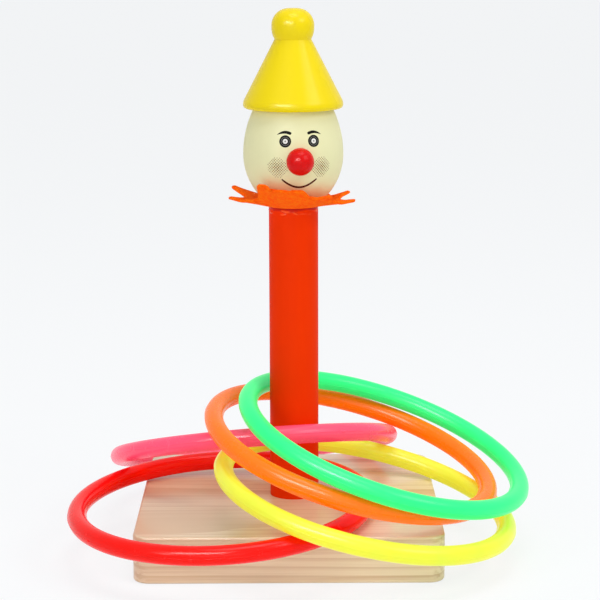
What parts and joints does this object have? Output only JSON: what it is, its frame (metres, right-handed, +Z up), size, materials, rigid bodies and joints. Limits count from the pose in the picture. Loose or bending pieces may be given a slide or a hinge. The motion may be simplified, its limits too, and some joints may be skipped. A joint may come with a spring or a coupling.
{
  "type": "ring toss game",
  "caption": "Wooden clown ring toss: turned head with cone hat and felt petal collar on a post, square board foot, and loose plastic rings heaped round the post.",
  "frame": {"origin": "on the axis of the post, at the board's underside; the middle of the board lies 2.8 mm to -X", "axes": "+Z up along the post; the clown faces the player on the -Y side, turned a little towards +X"},
  "size_m": [0.2333, 0.2299, 0.2732],
  "materials": {
    "pine": "clear lacquer over pine",
    "post_paint": "red-orange gloss paint",
    "screw_steel": "zinc plated",
    "birch": "bare birch",
    "felt": "orange wool felt",
    "head_paint": "cream gloss paint",
    "nose_paint": "red gloss paint",
    "hat_paint": "yellow gloss paint",
    "red_plastic": "moulded, glossy",
    "yellow_plastic": "moulded, glossy",
    "pink_plastic": "moulded, glossy",
    "orange_plastic": "moulded, glossy",
    "green_plastic": "moulded, glossy"
  },
  "bodies": {
    "stand": {"base_board": "pine", "post": "post_paint", "post_screw": "screw_steel", "neck_dowel": "birch", "felt_collar": "felt", "head": "head_paint", "nose": "nose_paint", "hat": "hat_paint", "hat_dowel": "birch"},
    "red_ring": {"ring_red": "red_plastic"},
    "yellow_ring": {"ring_yellow": "yellow_plastic"},
    "pink_ring": {"ring_pink": "pink_plastic"},
    "orange_ring": {"ring_orange": "orange_plastic"},
    "green_ring": {"ring_green": "green_plastic"}
  },
  "joints": [
    {"name": "red_ring_lift", "type": "slide", "parent": "stand", "child": "red_ring", "axis": [0, 0, 1], "range_m": [0, 0.028]},
    {"name": "yellow_ring_lift", "type": "slide", "parent": "red_ring", "child": "yellow_ring", "axis": [0, 0, 1], "range_m": [0, 0.028]},
    {"name": "pink_ring_lift", "type": "slide", "parent": "yellow_ring", "child": "pink_ring", "axis": [0, 0, 1], "range_m": [0, 0.028]},
    {"name": "orange_ring_lift", "type": "slide", "parent": "pink_ring", "child": "orange_ring", "axis": [-0.2406, 0.1251, 0.9625], "range_m": [0, 0.28]},
    {"name": "green_ring_lift", "type": "slide", "parent": "orange_ring", "child": "green_ring", "axis": [-0.2406, 0.1251, 0.9625], "range_m": [0, 0.28]}
  ]
}
